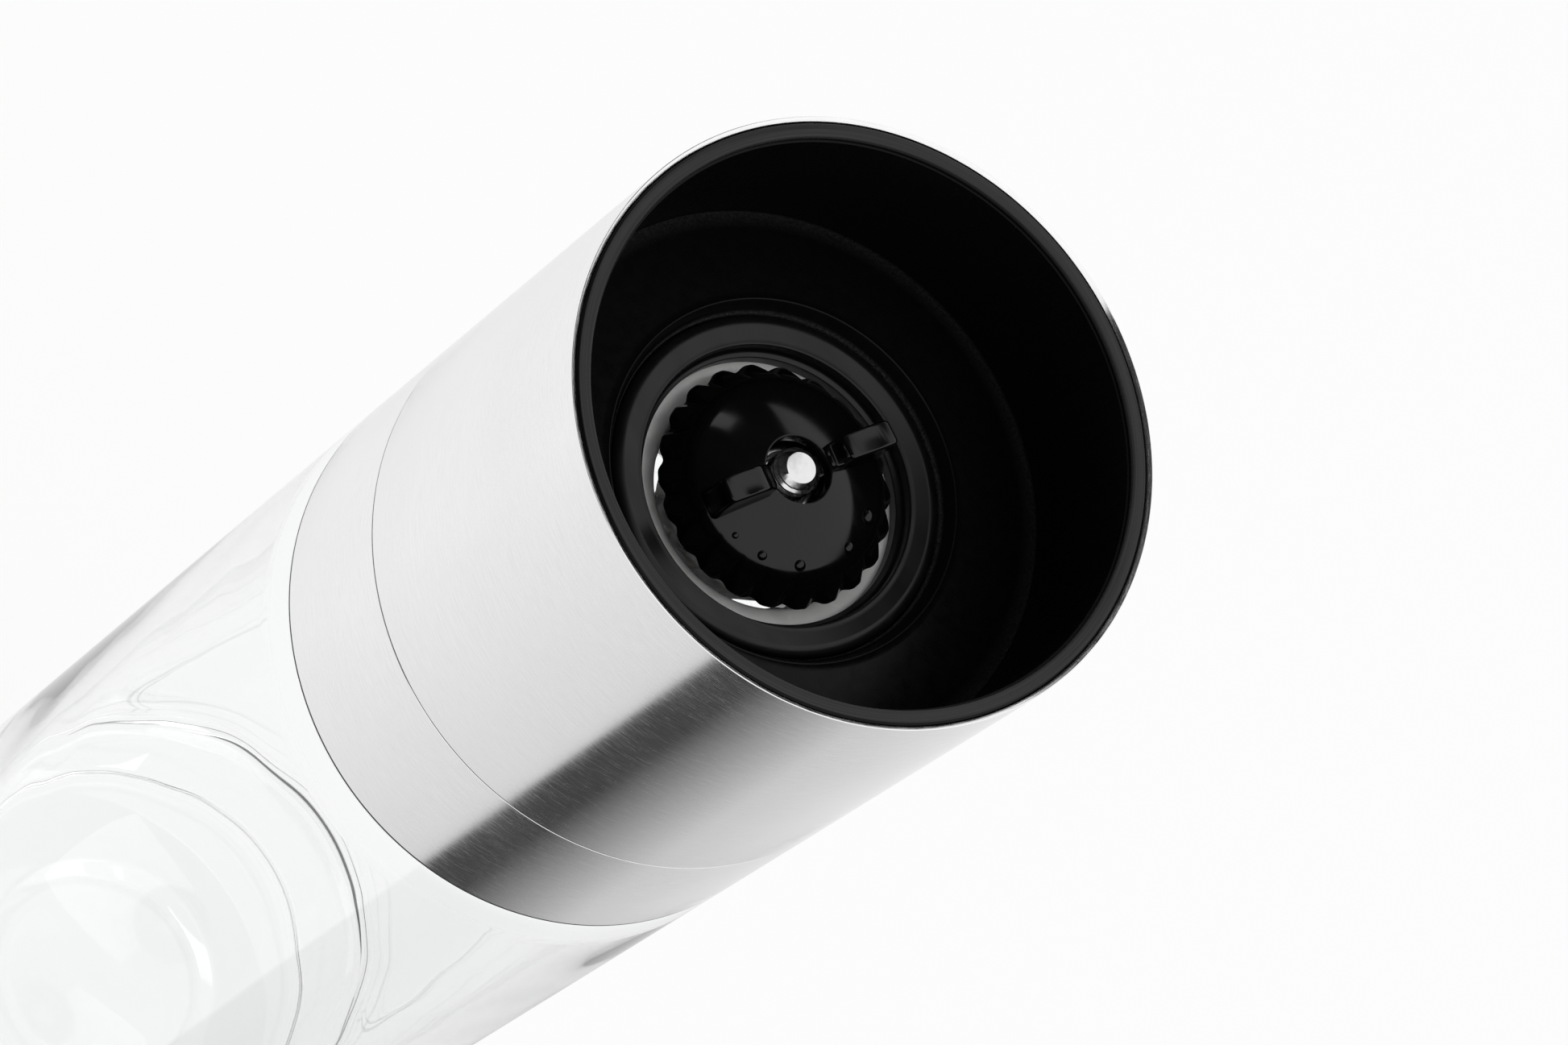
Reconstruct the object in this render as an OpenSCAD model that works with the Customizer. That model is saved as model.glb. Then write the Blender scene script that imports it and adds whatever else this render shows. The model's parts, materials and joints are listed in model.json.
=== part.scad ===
// Hand pepper mill: a steel head that turns on a threaded collar over a clear glass jar.
// The grinder is on top. Z is the mill's axis, and the jar stands on Z = 0.

/* [Mill] */
// Overall height
mill_h = 170; // [150:1:205]
// Outer diameter of the jar and both steel shells
mill_d = 50; // [46:0.5:60]
// Length of the turning steel sleeve
sleeve_l = 39.2; // [36:0.2:47]
// Length of the steel collar between the sleeve and the jar
collar_l = 17.9; // [15.5:0.1:21.5]
// Wall of the steel shells
steel_t = 0.4; // [0.3:0.05:0.6]
// Gap at each of the two seams
seam_gap = 0.25; // [0.2:0.05:0.4]

/* [Jar] */
// Glass wall of the jar
jar_wall = 3; // [2.4:0.1:3.6]
// Glass thickness at the base
jar_base = 8; // [5:0.5:12]
// Height of the neck above the shoulder
neck_h = 9.1; // [7.5:0.1:11]
// Thickness of the silicone seal on the neck
seal_t = 0.6; // [0.4:0.1:1]

/* [Recess] */
// Depth of the recess at its wall, from the rim
recess_d = 15.9; // [14:0.1:19.1]
// Width of the plastic lip inside the steel rim
lip_w = 1.25; // [1:0.05:1.6]
// How far the recess wall leans in towards the floor
wall_draft = 0.3; // [0:0.05:0.6]
// Rise of the recess floor from its wall to the collar round the housing
floor_rise = 1.3; // [0.5:0.1:1.8]

/* [Grinder] */
// Outer radius of the grinder housing's flange
flange_r = 14.25; // [13.6:0.05:15.5]
// Outer radius of the ceramic ring
ring_r = 12.4; // [11.9:0.05:12.8]
// Radius of the widest part of the ceramic rotor
rotor_r = 8.9; // [8.3:0.05:9.4]
// Radial gap between rotor and ring where the grinding ends
grind_gap = 0.45; // [0.4:0.05:0.8]
// Height of the ceramic ring
ring_h = 9; // [8:0.5:10]
// Across flats of the square spindle
spindle_sq = 4.6; // [4:0.1:5]
// Diameter of the spindle's threaded end
thread_d = 4; // [3.4:0.1:4.4]
// Teeth on the ceramic rotor
rotor_teeth = 14; // [10:1:18]

/* [Adjuster knob] */
// Diameter of the knob over its ridges
knob_d = 20.4; // [17:0.2:21.4]
// Radius of the knob's domed top
dome_r = 13.8; // [12.5:0.1:17]
// Number of flutes round the knob
flutes = 22; // [16:1:26]
// Height of the two finger wings above the knob's lower edge
wing_h = 6.8; // [5.5:0.1:8]
// Thickness of a wing
wing_t = 2.2; // [1.6:0.1:2.8]
// Direction of the wings about the axis
wing_angle = 77; // [0:1:180]
// Height of the nut inside the knob
nut_h = 3.2; // [2.4:0.1:3.4]
// Across flats of the nut
nut_af = 7; // [6:0.1:7.6]

/* [Hidden] */
$fn = 96;

// Clearances
seat_gap = 0.05;  // between two pieces that rest on or in each other
run_gap = 0.1;    // round a piece that turns or slides in another
eps = 0.01;

// Radii of the jar and the collar, from the outside in
mill_r = mill_d / 2;
shell_in_r = mill_r - steel_t;
insert_out_r = shell_in_r - seat_gap;
insert_wall = 2.65;
neck_bore_r = insert_out_r - insert_wall;
neck_out_r = neck_bore_r - 4 * run_gap;
neck_wall = 2.9;
neck_in_r = neck_out_r - neck_wall;
jar_in_r = mill_r - jar_wall;
web_in_r = neck_in_r - 2;

// Radii of the head, from the outside in
liner_out_r = shell_in_r - seat_gap;
lip_in_r = liner_out_r - lip_w;
floor_out_r = lip_in_r - wall_draft;
skirt_in_r = liner_out_r - 1.5;
ledge_in_r = skirt_in_r - 0.9;
spigot_r = ledge_in_r - run_gap;
spigot_in_r = spigot_r - 2.05;
groove_r = spigot_r - 0.75;

// Heights of the jar and the collar
rim_z = mill_h;
seam_z = rim_z - sleeve_l;
shoulder_z = seam_z - collar_l;
neck_top_z = shoulder_z + neck_h;
web_z = neck_top_z + seal_t + 2 * seat_gap;
web_t = 2.4;
web_top_z = web_z + web_t;
insert_top_z = seam_z - 0.35;
slip_t = 0.6;
skirt_z = insert_top_z + slip_t + 2 * seat_gap;
ledge_top_z = skirt_z + 3.5;
snap_t = 1;
snap_z = ledge_top_z + run_gap;
spigot_top_z = snap_z + snap_t + 1.6;

// Heights of the recess and the grinder
floor_z = rim_z - recess_d;
collar_z = floor_z + floor_rise;
flange_z = floor_z - 2.15;
flange_edge_z = flange_z + 1.9;
housing_face_z = floor_z + 0.14;
lip_z = floor_z - 1.35;
lip_t = 0.3;
lip_r = ring_r - 1.26;
ledge_t = 1.45;
floor_hole_r = flange_r + 0.15;
floor_collar_r = flange_r + 0.9;
body_r = ring_r + 1.05;
ring_top_z = lip_z - lip_t - seat_gap;
ring_z = ring_top_z - ring_h;
clamp_t = 2.1;
clamp_z = ring_z - seat_gap - clamp_t;
housing_nut_t = 1.55;
housing_nut_z = flange_z - ledge_t - 2 * seat_gap - housing_nut_t;
housing_bore_r = lip_r + 0.62;

// Knob, rotor and spindle, all measured from the knob's lower edge
knob_z = floor_z - 0.7;
knob_r = knob_d / 2;
edge_h = 0.35;
dome_z = knob_z + edge_h - sqrt(pow(dome_r, 2) - pow(knob_r, 2));
hub_r = thread_d / 2 + 0.9;
wing_in_r = hub_r + 0.2;
wing_out_r = knob_r - 2.05;
washer_t = 0.5;
washer_z = knob_z - seat_gap - washer_t;
rotor_top_z = washer_z - seat_gap;
rotor_h = ring_h + 0.5;
rotor_z = rotor_top_z - rotor_h;
rotor_bore_r = spindle_sq / 2 + 2.65;
carrier_flange_t = 1.3;
carrier_z = rotor_z - seat_gap - carrier_flange_t;
wide_z = ring_top_z - 0.9;
fine_l = 3;
fine_slope = 1 / 3;
thread_l = 6.8;
stud_z = knob_z + 4.9;
square_top_z = stud_z - thread_l;
bridge_hub_r = spindle_sq / 2 + 3.9;
bridge_hub_h = 5.1;
bridge_z = web_top_z + seat_gap;
bridge_top_z = bridge_z + bridge_hub_h;
spindle_head_r = 5;
spindle_head_t = 1.5;
seat_z = bridge_top_z + seat_gap;
spring_z = seat_z + washer_t + seat_gap;
spring_top_z = carrier_z - seat_gap;
spring_wire_r = 0.4;
spring_r = spindle_sq / 2 * sqrt(2) + 0.3 + spring_wire_r;
spring_turns = 5;
screw_r = 1;
screw_ring_r = (spigot_in_r + web_in_r) / 2 - 0.05;

// Points of an arc in a profile
function arc(x, y, r, from, to, steps = 6) =
    [for (i = [0:steps]) let (a = from + (to - from) * i / steps) [x + r * cos(a), y + r * sin(a)]];

// A turned ring between two radii and two heights
module ring(inner, outer, low, high) {
    rotate_extrude() translate([inner, low]) square([outer - inner, high - low]);
}

// Corners of the spring's wire: rings of eight points along a helix
function coil_point(turn, side) =
    let (a = 360 * turn, b = 360 * side / 8,
        r = spring_r + spring_wire_r * cos(b),
        rise = spring_top_z - spring_z - 2 * spring_wire_r,
        z = spring_z + spring_wire_r + rise * turn / spring_turns + spring_wire_r * sin(b))
    [r * cos(a), r * sin(a), z];

module jar() {
    edge = 0.4;
    foot = 2.2;
    inner_foot = 4;
    punt_r = 14;
    punt_h = 0.8;
    fillet_h = 6.4;
    top = shoulder_z - seam_gap / 2;
    color([0.86, 0.88, 0.88, 0.4]) rotate_extrude() polygon(concat(
        [[0, punt_h], [punt_r - 3, punt_h], [punt_r, 0]],
        arc(mill_r - foot, foot, foot, -90, 0),
        arc(mill_r - edge, top - edge, edge, 0, 90),
        [[neck_out_r, top]],
        arc(neck_out_r - edge, neck_top_z - edge, edge, 0, 90),
        arc(neck_in_r + edge, neck_top_z - edge, edge, 90, 180),
        [[neck_in_r, top - 1], [(neck_in_r + jar_in_r) / 2 + 0.2, top - fillet_h / 2 - 0.5],
            [jar_in_r, top - fillet_h]],
        arc(jar_in_r - inner_foot, jar_base + inner_foot, inner_foot, 0, -90),
        [[0, jar_base]]));
}

module neck_seal() {
    color("gainsboro") ring(neck_in_r + 0.2, neck_out_r, neck_top_z + seat_gap, neck_top_z + seat_gap + seal_t);
}

// A steel tube with a small chamfer on the outer edge at each end
module shell(low, high, low_bevel, high_bevel) {
    rotate_extrude() polygon([
        [shell_in_r, low], [mill_r - low_bevel, low], [mill_r, low + low_bevel],
        [mill_r, high - high_bevel], [mill_r - high_bevel, high], [shell_in_r, high]]);
}

module collar_shell() {
    color("silver") shell(shoulder_z + seam_gap / 2, seam_z - seam_gap / 2, 0.1, 0.25);
}

module sleeve_shell() {
    color("silver") shell(seam_z + seam_gap / 2, rim_z, 0.25, 0.15);
}

module collar_insert() {
    low = shoulder_z + seam_gap + 0.15;
    color([0.08, 0.08, 0.08]) difference() {
        rotate_extrude() polygon([
            [neck_bore_r, low], [insert_out_r, low], [insert_out_r, insert_top_z],
            [spigot_r, insert_top_z], [spigot_r, snap_z - seat_gap], [groove_r, snap_z - seat_gap],
            [groove_r, snap_z + snap_t + seat_gap], [spigot_r, snap_z + snap_t + seat_gap],
            [spigot_r, spigot_top_z], [spigot_in_r, spigot_top_z], [spigot_in_r, web_top_z],
            [web_in_r, web_top_z], [web_in_r, web_z], [neck_bore_r, web_z]]);
        for (a = [90, 210, 330])
            rotate(a) translate([screw_ring_r, 0, web_top_z - 1.9]) cylinder(r = screw_r + seat_gap, h = 2);
    }
}

module spider_bridge() {
    ring_t = 2;
    arm_w = 3.4;
    arm_h = 3.6;
    ring_in_r = web_in_r;
    color([0.1, 0.1, 0.1]) difference() {
        union() {
            ring(ring_in_r, spigot_in_r - seat_gap, bridge_z, bridge_z + ring_t);
            translate([0, 0, bridge_z]) cylinder(r = bridge_hub_r, h = bridge_hub_h);
            for (a = [90, 210, 330])
                rotate(a) translate([bridge_hub_r - 1, -arm_w / 2, bridge_z])
                    cube([ring_in_r - bridge_hub_r + 1.1, arm_w, arm_h]);
        }
        translate([0, 0, bridge_z + bridge_hub_h / 2])
            cube([spindle_sq + 2 * seat_gap, spindle_sq + 2 * seat_gap, bridge_hub_h + 1], center = true);
        for (a = [90, 210, 330])
            rotate(a) translate([screw_ring_r, 0, bridge_z - 1]) cylinder(r = screw_r + seat_gap, h = ring_t + 2);
    }
}

module bridge_screws() {
    head_r = 1.45;
    head_z = bridge_z + 2 + seat_gap;
    color("silver") for (a = [90, 210, 330])
        rotate(a) translate([screw_ring_r, 0, 0]) difference() {
            union() {
                translate([0, 0, head_z]) cylinder(r = head_r, h = 1.1);
                translate([0, 0, web_top_z - 1.8]) cylinder(r = screw_r, h = head_z - web_top_z + 1.85);
            }
            translate([-0.25, -2, head_z + 0.6]) cube([0.5, 4, 1]);
        }
}

module spindle() {
    head_top = bridge_z - 2 * seat_gap - washer_t;
    chamfer = 0.6;
    color("silver") {
        translate([0, 0, head_top - spindle_head_t]) cylinder(r = spindle_head_r, h = spindle_head_t);
        translate([-spindle_sq / 2, -spindle_sq / 2, head_top - eps])
            cube([spindle_sq, spindle_sq, square_top_z - head_top + eps]);
        rotate_extrude() polygon([
            [0, square_top_z - 1], [thread_d / 2, square_top_z - 1], [thread_d / 2, stud_z - chamfer],
            [thread_d / 2 - chamfer, stud_z], [0, stud_z]]);
    }
}

module spindle_washer() {
    low = bridge_z - seat_gap - washer_t;
    color("silver") difference() {
        translate([0, 0, low]) cylinder(r = spindle_head_r + 0.4, h = washer_t);
        translate([0, 0, low - 1]) cylinder(r = spindle_sq / 2 * sqrt(2) + seat_gap, h = washer_t + 2);
    }
}

module spring_seat() {
    color("silver") difference() {
        translate([0, 0, seat_z]) cylinder(r = spring_r + 1.2, h = washer_t);
        translate([0, 0, seat_z - 1]) cylinder(r = spindle_sq / 2 * sqrt(2) + seat_gap, h = washer_t + 2);
    }
}

module rotor_spring() {
    steps = 20;
    rings = spring_turns * steps;
    points = [for (i = [0:rings]) for (s = [0:7]) coil_point(i / steps, s)];
    walls = [for (i = [0:rings - 1]) for (s = [0:7]) let (t = (s + 1) % 8)
        each [[i * 8 + s, (i + 1) * 8 + s, (i + 1) * 8 + t], [i * 8 + s, (i + 1) * 8 + t, i * 8 + t]]];
    ends = [[for (s = [0:7]) s], [for (s = [7:-1:0]) rings * 8 + s]];
    color("lightsteelblue") polyhedron(points = points, faces = concat(walls, ends));
}

module slip_ring() {
    color([0.25, 0.25, 0.25])
        ring(spigot_r + run_gap, shell_in_r - 0.3, insert_top_z + seat_gap, insert_top_z + seat_gap + slip_t);
}

module snap_ring() {
    color("silver") difference() {
        ring(groove_r + seat_gap, skirt_in_r - 0.25, snap_z, snap_z + snap_t);
        translate([0, -2, snap_z - 1]) cube([mill_r, 4, snap_t + 2]);
    }
}

module rotor_burr() {
    fine_r = rotor_r - fine_l * fine_slope;
    tooth_tilt = 22;
    color([0.9, 0.9, 0.88]) difference() {
        rotate_extrude() polygon([
            [rotor_bore_r, rotor_z], [rotor_bore_r + 1.1, rotor_z], [fine_r, wide_z - fine_l],
            [rotor_r, wide_z], [rotor_r - 0.4, rotor_top_z], [rotor_bore_r, rotor_top_z]]);
        for (i = [0:rotor_teeth - 1])
            rotate(i * 360 / rotor_teeth) translate([rotor_r + 0.25, 0, rotor_z + rotor_h / 2 - 1])
                rotate([tooth_tilt, -18, 0]) cylinder(r = 1.1, h = rotor_h + 1, center = true);
    }
}

module rotor_carrier() {
    color([0.15, 0.15, 0.15]) difference() {
        union() {
            translate([0, 0, carrier_z]) cylinder(r = rotor_bore_r - seat_gap, h = rotor_top_z - carrier_z);
            translate([0, 0, carrier_z]) cylinder(r = rotor_bore_r + 0.8, h = carrier_flange_t);
        }
        translate([0, 0, (carrier_z + rotor_top_z) / 2])
            cube([spindle_sq + 2 * run_gap, spindle_sq + 2 * run_gap, rotor_top_z - carrier_z + 2], center = true);
    }
}

module thrust_washer() {
    color("silver") ring(thread_d / 2 + 0.15, rotor_bore_r + 1.45, washer_z, washer_z + washer_t);
}

module adjuster_knob() {
    flute_r = 1.5;
    flute_tilt = 25;
    flute_depth = 0.6;
    flute_turn = 2;
    skirt_h = knob_z + edge_h;
    color([0.05, 0.05, 0.05]) difference() {
        union() {
            intersection() {
                translate([0, 0, dome_z]) sphere(r = dome_r);
                translate([0, 0, knob_z]) cylinder(r = knob_r, h = dome_r);
            }
            rotate(wing_angle) for (side = [0, 180])
                rotate(side) translate([wing_in_r, -wing_t / 2, skirt_h])
                    cube([wing_out_r - wing_in_r, wing_t, wing_h - edge_h]);
        }
        translate([0, 0, knob_z + 1]) cylinder(r = hub_r, h = dome_r);
        translate([0, 0, knob_z - 1])
            cylinder(r = (nut_af / 2 + seat_gap) / cos(30), h = nut_h + 1 + seat_gap, $fn = 6);
        for (i = [0:flutes - 1])
            rotate(wing_angle + flute_turn + i * 360 / flutes)
                translate([knob_r - flute_depth + flute_r / cos(flute_tilt), 0, knob_z])
                    rotate([0, -flute_tilt, 0]) cylinder(r = flute_r, h = 10, center = true);
    }
}

module knob_nut() {
    color("silver") difference() {
        translate([0, 0, knob_z]) cylinder(r = nut_af / 2 / cos(30), h = nut_h, $fn = 6);
        translate([0, 0, knob_z - 1]) cylinder(r = thread_d / 2 + seat_gap, h = nut_h + 2);
    }
}

module head_liner() {
    color([0.09, 0.09, 0.09]) rotate_extrude() polygon([
        [liner_out_r, skirt_z], [liner_out_r, rim_z - 0.05], [lip_in_r, rim_z - 0.05],
        [floor_out_r, floor_z], [floor_collar_r + 0.4, collar_z - 0.25], [floor_collar_r, collar_z],
        [floor_hole_r, flange_edge_z], [floor_hole_r, flange_z - seat_gap],
        [body_r + run_gap, flange_z - seat_gap], [body_r + run_gap, flange_z - seat_gap - ledge_t],
        [floor_collar_r + 1.5, flange_z - seat_gap - ledge_t], [skirt_in_r - 1, floor_z - 1.6],
        [skirt_in_r, floor_z - 3], [skirt_in_r, ledge_top_z], [ledge_in_r, ledge_top_z],
        [ledge_in_r, skirt_z]]);
}

module grinder_housing() {
    color([0.06, 0.06, 0.06]) rotate_extrude() polygon(concat(
        [[body_r, clamp_z], [body_r, flange_z], [flange_r, flange_z]],
        arc(flange_r - 0.5, flange_edge_z - 0.5, 0.5, 0, 60),
        [[housing_bore_r + 1.2, housing_face_z + 0.05], [housing_bore_r + 0.3, housing_face_z]],
        arc(housing_bore_r + 0.25, housing_face_z - 0.25, 0.25, 90, 180),
        [[housing_bore_r - 0.1, lip_z], [lip_r, lip_z - 0.1], [lip_r, lip_z - lip_t],
            [ring_r + run_gap, lip_z - lip_t], [ring_r + run_gap, clamp_z]]));
}

module burr_ring() {
    end_r = rotor_r + grind_gap;
    fine_r = end_r - fine_l * fine_slope;
    teeth = 18;
    color([0.9, 0.9, 0.88]) difference() {
        rotate_extrude() polygon([
            [end_r + 0.3, ring_z], [ring_r, ring_z], [ring_r, ring_top_z], [end_r + 1.25, ring_top_z],
            [end_r, wide_z], [fine_r, wide_z - fine_l], [fine_r, wide_z - fine_l - 2]]);
        for (i = [0:teeth - 1])
            rotate(i * 360 / teeth) translate([fine_r + 0.05, 0, ring_z + 1.5])
                rotate([-25, 0, 0]) cylinder(r = 0.7, h = ring_h, center = true);
    }
}

module burr_clamp() {
    color([0.12, 0.12, 0.12]) ring(ring_r - 1.9, ring_r + seat_gap, clamp_z, clamp_z + clamp_t);
}

module housing_nut() {
    notch = 3;
    color([0.12, 0.12, 0.12]) difference() {
        ring(body_r + seat_gap, floor_collar_r + 1.1, housing_nut_z, housing_nut_z + housing_nut_t);
        for (a = [0:60:300])
            rotate(a) translate([floor_collar_r + 0.4, -notch / 2, housing_nut_z - 1])
                cube([3, notch, housing_nut_t + 2]);
    }
}

module feed_funnel() {
    wide_r = skirt_in_r - seat_gap;
    wide_foot = spigot_top_z + 0.6;
    narrow_r = body_r + seat_gap;
    narrow_z = housing_nut_z - seat_gap;
    color([0.15, 0.15, 0.15]) rotate_extrude() polygon([
        [wide_r - 0.9, wide_foot], [wide_r, wide_foot], [wide_r, wide_foot + 2],
        [narrow_r + 1.3, narrow_z - 1.5], [narrow_r + 1.3, narrow_z], [narrow_r, narrow_z],
        [narrow_r, narrow_z - 2], [wide_r - 0.9, wide_foot + 1]]);
}

jar();
neck_seal();
collar_shell();
collar_insert();
spider_bridge();
bridge_screws();
spindle();
spindle_washer();
spring_seat();
rotor_spring();
slip_ring();
snap_ring();
rotor_burr();
rotor_carrier();
thrust_washer();
adjuster_knob();
knob_nut();
sleeve_shell();
head_liner();
grinder_housing();
burr_ring();
burr_clamp();
housing_nut();
feed_funnel();
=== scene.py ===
"""Finished surfaces of a hand pepper mill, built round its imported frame.

The mill stands on its jar, with the grinder on top. Everything is in metres, with +Z along the mill's axis.
"""

import json
import math

import bmesh
import bpy
from bpy.props import FloatProperty, FloatVectorProperty, IntProperty, PointerProperty
from mathutils import Matrix, Vector


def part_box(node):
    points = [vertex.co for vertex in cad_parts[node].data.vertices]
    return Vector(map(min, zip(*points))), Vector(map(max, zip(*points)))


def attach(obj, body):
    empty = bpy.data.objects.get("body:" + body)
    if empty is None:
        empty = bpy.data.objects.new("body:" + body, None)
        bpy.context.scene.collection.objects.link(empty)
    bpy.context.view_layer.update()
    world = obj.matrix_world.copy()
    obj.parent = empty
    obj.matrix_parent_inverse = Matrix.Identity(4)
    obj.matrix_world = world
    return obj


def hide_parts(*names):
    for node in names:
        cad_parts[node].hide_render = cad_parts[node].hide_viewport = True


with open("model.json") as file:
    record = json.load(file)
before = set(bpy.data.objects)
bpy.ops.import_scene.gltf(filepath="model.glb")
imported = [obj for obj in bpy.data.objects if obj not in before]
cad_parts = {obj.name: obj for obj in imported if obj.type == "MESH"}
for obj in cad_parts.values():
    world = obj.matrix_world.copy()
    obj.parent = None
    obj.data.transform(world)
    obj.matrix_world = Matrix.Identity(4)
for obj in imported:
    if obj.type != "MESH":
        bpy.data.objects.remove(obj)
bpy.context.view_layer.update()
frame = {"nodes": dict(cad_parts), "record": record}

bl_info = {
    "name": "Pepper Mill Looks",
    "version": (1, 0, 0),
    "blender": (4, 5, 0),
    "location": "View3D > Sidebar > Pepper Mill",
    "description": "Builds the finished surfaces of a hand pepper mill and a plain studio round it",
    "category": "Object",
}

MM = 0.001
TURN = 2 * math.pi
SECTORS = 8
ROUND_STEPS = 256
MERGE_DISTANCE = 0.0005 * MM


def low(node):
    """Height of a frame node's lowest point."""
    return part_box(node)[0].z


def top(node):
    """Height of a frame node's highest point."""
    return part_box(node)[1].z


def reach(node):
    """Distance from the mill's axis to a frame node's furthest point."""
    return max(math.hypot(v.co.x, v.co.y) for v in frame["nodes"][node].data.vertices)


# Heights and radii that several pieces share
RIM = top("sleeve_shell")
LINER_RADIUS = reach("head_liner")
KNOB_EDGE = low("adjuster_knob")
FLOOR_CORNER = RIM - 15.9 * MM
HOUSING_FACE = top("grinder_housing")
RING_TOP = top("burr_ring")
HUB_RADIUS = 2.8 * MM
HUB_HEIGHT = 4.5 * MM


# ---------------------------------------------------------------- settings


def length(name, description, default):
    """A length in metres that the sidebar shows in the scene's units."""
    return FloatProperty(
        name=name, description=description, default=default, subtype="DISTANCE", unit="LENGTH", precision=5
    )


def colour(name, description, default):
    return FloatVectorProperty(
        name=name, description=description, default=default, size=3, subtype="COLOR", min=0, max=1
    )


class MillShape(bpy.types.PropertyGroup):
    """Sizes of the details that the finished pieces carry."""

    steel_wall: length("Steel wall", "Wall of both steel shells", 0.4 * MM)
    steel_edge: length("Steel edge", "Rounding of the steel shells' outer edges", 0.06 * MM)
    washer_line: length("Washer line", "Height of the black line under the collar", 0.14 * MM)
    lip_width: length("Lip width", "Width of the plastic lip inside the steel rim", 1.25 * MM)
    jar_wall: length("Jar wall", "Glass thickness of the jar's side", 3 * MM)
    jar_base: length("Jar base", "Glass thickness of the jar's base", 8 * MM)
    glass_ripple: length("Glass ripple", "Unevenness of the jar's inner wall", 0.03 * MM)
    neck_thread: length("Neck thread", "Height of the thread on the jar's neck", 0.32 * MM)
    flutes: IntProperty(name="Flutes", description="Flutes round the knob's edge", default=22, min=8, max=40)
    wing_angle: FloatProperty(
        name="Wing angle",
        description="Direction of the finger wings about the axis",
        default=math.radians(77),
        subtype="ANGLE",
        unit="ROTATION",
    )
    stud_pitch: length("Stud pitch", "Pitch of the stud's thread", 0.7 * MM)
    ring_teeth: IntProperty(
        name="Ring teeth", description="Teeth inside the ceramic ring", default=18, min=6, max=40
    )
    rotor_teeth: IntProperty(name="Rotor teeth", description="Teeth on the rotor", default=14, min=6, max=40)


class MillFinish(bpy.types.PropertyGroup):
    """Colours of the finishes."""

    steel: colour("Steel", "Brushed stainless steel", (0.96, 0.96, 0.96))
    bright_steel: colour("Bright steel", "Turned and plated fasteners", (0.82, 0.82, 0.82))
    spring_steel: colour("Spring steel", "Drawn spring wire", (0.45, 0.45, 0.46))
    gloss_black: colour("Gloss black", "Polished black plastic", (0.002, 0.002, 0.002))
    liner_black: colour("Liner black", "Satin black plastic of the recess", (0.0024, 0.0024, 0.0024))
    black_plastic: colour("Black plastic", "Plain moulded black plastic", (0.012, 0.012, 0.012))
    ceramic: colour("Ceramic", "Fired white ceramic", (0.7, 0.7, 0.69))
    silicone: colour("Silicone", "Milky silicone of the seal", (0.75, 0.75, 0.75))
    glass: colour("Glass", "Clear glass", (0.985, 0.99, 0.99))


class MillStudio(bpy.types.PropertyGroup):
    """The camera and the light."""

    lens: FloatProperty(
        name="Lens", description="Focal length on a 36 mm sensor", default=155.4, unit="CAMERA"
    )
    tilt: FloatProperty(
        name="Tilt",
        description="Camera's tilt from straight down",
        default=math.radians(32.35),
        subtype="ANGLE",
    )
    roll: FloatProperty(
        name="Roll",
        description="Camera's turn about its own view",
        default=math.radians(54.57),
        subtype="ANGLE",
    )
    place: FloatVectorProperty(
        name="Place",
        description="Camera's position",
        default=(2.72 * MM, -287.14 * MM, 604.88 * MM),
        size=3,
        subtype="TRANSLATION",
        unit="LENGTH",
    )
    softbox_radiance: FloatProperty(
        name="Softbox", description="Radiance of the overhead softbox", default=1.6
    )
    fill: FloatProperty(
        name="Fill", description="Strength of the light from all round", default=0.55
    )
    backdrop_share: FloatProperty(
        name="Backdrop share",
        description="How far the floor reads as a lit white sweep",
        default=0.92,
        min=0,
        max=1,
    )


# ---------------------------------------------------------------- mesh helpers


def turned(outline, steps, fine=(), closed=True):
    """A mesh spun from an outline of (radius, height) or (radius, height, rounding) corners.

    fine lists (lowest, highest, row): between those heights no row of faces is longer than row.
    One sector is spun and then copied round, so steps is a multiple of the number of sectors.
    """
    mesh = bmesh.new()
    verts = [mesh.verts.new((c[0], 0, c[1])) for c in outline]
    pairs = zip(verts, verts[1:] + verts[:1]) if closed else zip(verts, verts[1:])
    for a, b in pairs:
        mesh.edges.new((a, b))
    for vert, corner in zip(verts, outline):
        if len(corner) > 2:
            bmesh.ops.bevel(
                mesh, geom=[vert], offset=corner[2], segments=5, profile=0.5, affect="VERTICES", material=-1
            )
    for lowest, highest, row in fine:
        for edge in list(mesh.edges):
            middle = (edge.verts[0].co.z + edge.verts[1].co.z) / 2
            cuts = int(edge.calc_length() / row)
            if cuts and lowest <= middle <= highest:
                bmesh.ops.subdivide_edges(mesh, edges=[edge], cuts=cuts)
    bmesh.ops.spin(
        mesh,
        geom=mesh.verts[:] + mesh.edges[:],
        cent=(0, 0, 0),
        axis=(0, 0, 1),
        angle=TURN / SECTORS,
        steps=steps // SECTORS,
        use_merge=False,
        use_duplicate=False,
    )
    for share in (1, 2, 4):
        copied = bmesh.ops.duplicate(mesh, geom=mesh.verts[:] + mesh.edges[:] + mesh.faces[:])["geom"]
        moved = [item for item in copied if isinstance(item, bmesh.types.BMVert)]
        turn = Matrix.Rotation(TURN / SECTORS * share, 3, "Z")
        bmesh.ops.rotate(mesh, verts=moved, cent=(0, 0, 0), matrix=turn)
    bmesh.ops.remove_doubles(mesh, verts=mesh.verts[:], dist=MERGE_DISTANCE)
    bmesh.ops.recalc_face_normals(mesh, faces=mesh.faces[:])
    return mesh


def worked(mesh, shape):
    """Moves every vertex to the radius and height that shape(radius, angle, height) gives."""
    for vert in mesh.verts:
        radius = math.hypot(vert.co.x, vert.co.y)
        angle = math.atan2(vert.co.y, vert.co.x)
        radius, height = shape(radius, angle, vert.co.z)
        vert.co = (radius * math.cos(angle), radius * math.sin(angle), height)
    return mesh


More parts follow.
